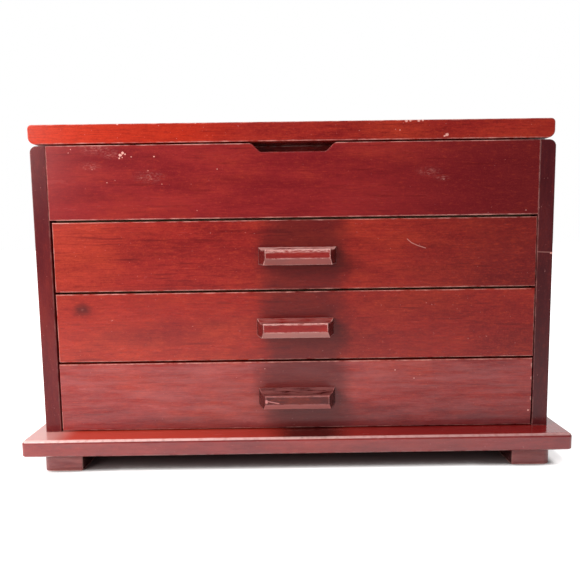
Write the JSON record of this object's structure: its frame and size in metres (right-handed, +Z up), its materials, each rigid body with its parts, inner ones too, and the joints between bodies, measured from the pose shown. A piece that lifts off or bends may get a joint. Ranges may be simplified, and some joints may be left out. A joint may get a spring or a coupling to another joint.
{
  "type": "jewelry chest",
  "caption": "Small wooden table chest with a hinged lid over a divided velvet tray, drawers with moulded pulls, and a plinth on block feet",
  "frame": {"origin": "middle of the footprint, at the bottom of the feet", "axes": "+X to the right of the drawer fronts and along the longest side, +Y from the front to the back, +Z up"},
  "size_m": [0.3446, 0.216, 0.2156],
  "materials": {
    "red_lacquered_wood": "deep red stain under satin-gloss lacquer, worn at the edges",
    "plain_wood": "bare planed wood",
    "plywood": "bare thin plywood",
    "velvet": "burgundy flocked velvet",
    "mirror": "silvered plate glass",
    "hinge_brass": "brass-plated, satin",
    "screw_steel": "zinc-plated"
  },
  "bodies": {
    "case": {"case_back": "red_lacquered_wood", "case_side_left": "red_lacquered_wood", "case_side_right": "red_lacquered_wood", "drawer_shelf_lower": "plywood", "drawer_shelf_upper": "plywood", "foot_front_left": "red_lacquered_wood", "foot_front_right": "red_lacquered_wood", "foot_rear_left": "red_lacquered_wood", "foot_rear_right": "red_lacquered_wood", "foot_screws": "screw_steel", "hinge_case_leaf_left": "hinge_brass", "hinge_case_leaf_right": "hinge_brass", "hinge_case_screws": "hinge_brass", "hinge_pin_left": "hinge_brass", "hinge_pin_right": "hinge_brass", "plinth_board": "red_lacquered_wood", "plinth_screws": "screw_steel", "ring_roll_pad": "velvet", "top_front_panel": "red_lacquered_wood", "tray_divider_cross_1": "velvet", "tray_divider_cross_2": "velvet", "tray_divider_cross_3": "velvet", "tray_divider_long": "velvet", "tray_floor": "plywood", "tray_liner": "velvet"},
    "lid": {"hinge_lid_leaf_left": "hinge_brass", "hinge_lid_leaf_right": "hinge_brass", "hinge_lid_screws": "hinge_brass", "lid_panel": "red_lacquered_wood", "mirror_frame_front": "red_lacquered_wood", "mirror_frame_left": "red_lacquered_wood", "mirror_frame_rear": "red_lacquered_wood", "mirror_frame_right": "red_lacquered_wood", "mirror_glass": "mirror"},
    "drawer_1": {"drawer_1_back": "plain_wood", "drawer_1_bottom": "plywood", "drawer_1_front": "red_lacquered_wood", "drawer_1_liner": "velvet", "drawer_1_pull": "red_lacquered_wood", "drawer_1_pull_screws": "screw_steel", "drawer_1_side_left": "plain_wood", "drawer_1_side_right": "plain_wood"},
    "drawer_2": {"drawer_2_back": "plain_wood", "drawer_2_bottom": "plywood", "drawer_2_front": "red_lacquered_wood", "drawer_2_liner": "velvet", "drawer_2_pull": "red_lacquered_wood", "drawer_2_pull_screws": "screw_steel", "drawer_2_side_left": "plain_wood", "drawer_2_side_right": "plain_wood"},
    "drawer_3": {"drawer_3_back": "plain_wood", "drawer_3_bottom": "plywood", "drawer_3_front": "red_lacquered_wood", "drawer_3_liner": "velvet", "drawer_3_pull": "red_lacquered_wood", "drawer_3_pull_screws": "screw_steel", "drawer_3_side_left": "plain_wood", "drawer_3_side_right": "plain_wood"}
  },
  "joints": [
    {"name": "lid_hinge", "type": "hinge", "parent": "case", "child": "lid", "pos_m": [0, 0.0965, 0.2032], "axis": [-1, 0, 0], "range_deg": [0, 95]},
    {"name": "drawer_1_slide", "type": "slide", "parent": "case", "child": "drawer_1", "axis": [0, -1, 0], "range_m": [0, 0.14]},
    {"name": "drawer_2_slide", "type": "slide", "parent": "case", "child": "drawer_2", "axis": [0, -1, 0], "range_m": [0, 0.14]},
    {"name": "drawer_3_slide", "type": "slide", "parent": "case", "child": "drawer_3", "axis": [0, -1, 0], "range_m": [0, 0.14]}
  ]
}
